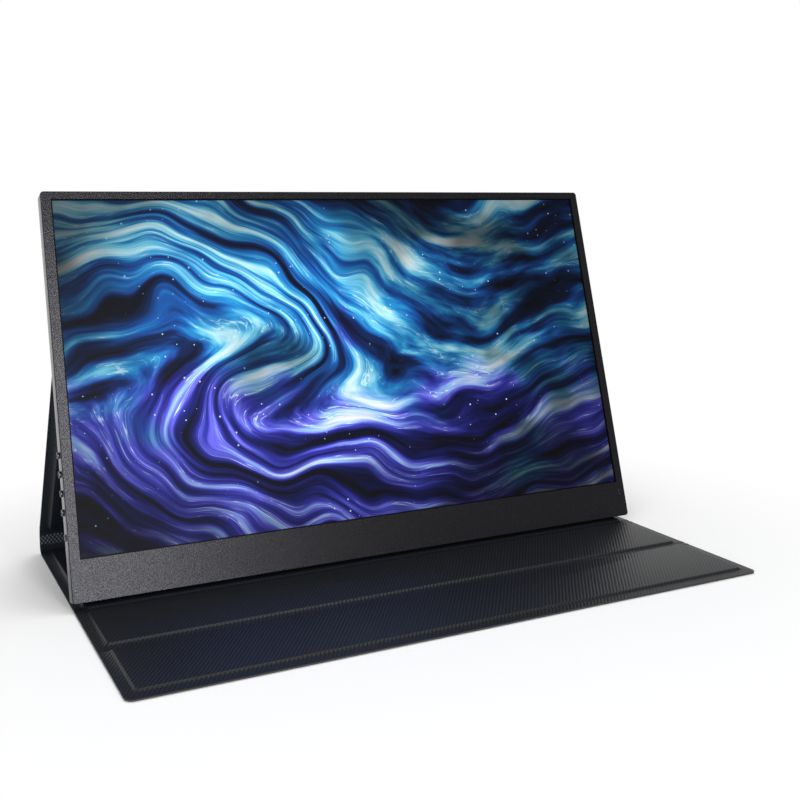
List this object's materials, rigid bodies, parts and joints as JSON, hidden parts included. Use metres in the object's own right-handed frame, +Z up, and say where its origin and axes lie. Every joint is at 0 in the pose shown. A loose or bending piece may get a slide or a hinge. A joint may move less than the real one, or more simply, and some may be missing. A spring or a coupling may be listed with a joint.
{
  "type": "portable monitor with cover",
  "caption": "Slim portable flat-panel monitor standing in a fold-out magnetic cover, with side keys and ports and a padded base flap in front.",
  "frame": {"origin": "middle of the footprint, on the surface that the cover lies on", "axes": "+X to the viewer's right along the screen, +Y to the back, +Z up"},
  "size_m": [0.3566, 0.2272, 0.2163],
  "materials": {
    "bezel": "fine sand-textured moulding",
    "shell": "fine matt moulding",
    "foam": "closed-cell foam tape",
    "display": "matt polarizer over a lit picture",
    "film": "translucent film",
    "acrylic": "clear acrylic",
    "reflector": "white sheet",
    "tray_steel": "pressed sheet",
    "led": "white strip",
    "board_green": "solder mask",
    "board_blue": "solder mask",
    "flex": "polyimide",
    "chip": "moulded epoxy",
    "thermal": "soft silicone",
    "port_steel": "tin plated",
    "port_plastic": "moulded",
    "key": "metallised moulding",
    "switch": "moulded",
    "lamp": "clear light pipe",
    "speaker": "moulded",
    "ribbon": "flat cable",
    "wire": "insulated lead",
    "screw_black": "black zinc",
    "screw_steel": "zinc",
    "keeper": "spring steel",
    "magnet": "nickel plated",
    "leather": "smooth imitation leather",
    "greyboard": "pressed board",
    "weave": "fine twill"
  },
  "bodies": {
    "base_rear": {"rear_skin": "leather", "rear_board": "greyboard", "rear_lining": "weave"},
    "base_mid": {"mid_skin": "leather", "mid_board": "greyboard", "mid_lining": "weave"},
    "base_tip": {"tip_skin": "leather", "tip_board": "greyboard", "tip_lining": "weave"},
    "spine": {"spine_skin": "leather", "spine_lining": "weave"},
    "leg": {"leg_skin": "leather", "leg_board": "greyboard", "leg_lining": "weave"},
    "back_panel": {"back_skin": "leather", "back_board": "greyboard", "back_lining": "weave", "back_magnets": "magnet"},
    "monitor": {"front_frame": "bezel", "rear_shell": "shell", "panel_gasket": "foam", "lcd_cell": "display", "optical_films": "film", "light_guide": "acrylic", "reflector_sheet": "reflector", "panel_tray": "tray_steel", "backlight_strip": "led", "source_board": "board_green", "cell_flexes": "flex", "main_board": "board_blue", "main_chips": "chip", "thermal_pad": "thermal", "usb_c_shells": "port_steel", "usb_c_tongues": "port_plastic", "mini_hdmi_shell": "port_steel", "mini_hdmi_tongue": "port_plastic", "headphone_jack": "port_plastic", "key_board": "board_green", "key_switches": "switch", "lamp_pipes": "lamp", "lamp_board": "board_green", "speaker_left": "speaker", "speaker_right": "speaker", "display_cable": "flex", "key_cable": "ribbon", "speaker_leads": "wire", "case_screws": "screw_black", "board_screws": "screw_steel", "keeper_plates": "keeper"},
    "menu_key_1": {"menu_key_1": "key"},
    "menu_key_2": {"menu_key_2": "key"},
    "menu_key_3": {"menu_key_3": "key"},
    "menu_key_4": {"menu_key_4": "key"},
    "power_key": {"power_key": "key"}
  },
  "joints": [
    {"name": "heel_fold", "type": "hinge", "parent": "base_rear", "child": "spine", "pos_m": [0.00055, 0.11294, 0.00065], "axis": [1, 0, 0], "range_deg": [-89.6, 0]},
    {"name": "knee_fold", "type": "hinge", "parent": "spine", "child": "leg", "pos_m": [0.00055, 0.11294, 0.01405], "axis": [1, 0, 0], "range_deg": [0, 57.4]},
    {"name": "back_fold", "type": "hinge", "parent": "leg", "child": "back_panel", "pos_m": [0.00055, 0.04625, 0.11877], "axis": [1, 0, 0], "range_deg": [0, 48.4]},
    {"name": "monitor_lift", "type": "slide", "parent": "back_panel", "child": "monitor", "axis": [0, 0.279, 0.9603], "range_m": [0, 0.225]},
    {"name": "mid_fold", "type": "hinge", "parent": "base_rear", "child": "base_mid", "pos_m": [0.00055, -0.00059, 0.00065], "axis": [1, 0, 0], "range_deg": [-60, 0]},
    {"name": "tip_fold", "type": "hinge", "parent": "base_mid", "child": "base_tip", "pos_m": [0.00055, -0.05389, 0.00065], "axis": [1, 0, 0], "range_deg": [-75, 0]},
    {"name": "menu_key_1_press", "type": "slide", "parent": "monitor", "child": "menu_key_1", "axis": [1, 0, 0], "range_m": [0, 0.0004], "stiffness_N_per_m": 1200},
    {"name": "menu_key_2_press", "type": "slide", "parent": "monitor", "child": "menu_key_2", "axis": [1, 0, 0], "range_m": [0, 0.0004], "stiffness_N_per_m": 1200},
    {"name": "menu_key_3_press", "type": "slide", "parent": "monitor", "child": "menu_key_3", "axis": [1, 0, 0], "range_m": [0, 0.0004], "stiffness_N_per_m": 1200},
    {"name": "menu_key_4_press", "type": "slide", "parent": "monitor", "child": "menu_key_4", "axis": [1, 0, 0], "range_m": [0, 0.0004], "stiffness_N_per_m": 1200},
    {"name": "power_key_press", "type": "slide", "parent": "monitor", "child": "power_key", "axis": [1, 0, 0], "range_m": [0, 0.0004], "stiffness_N_per_m": 1200}
  ],
  "couplings": [
    {"joint": "knee_fold", "follows": "back_fold", "ratio": 1.1813},
    {"joint": "heel_fold", "follows": "back_fold", "ratio": -1.8485}
  ]
}
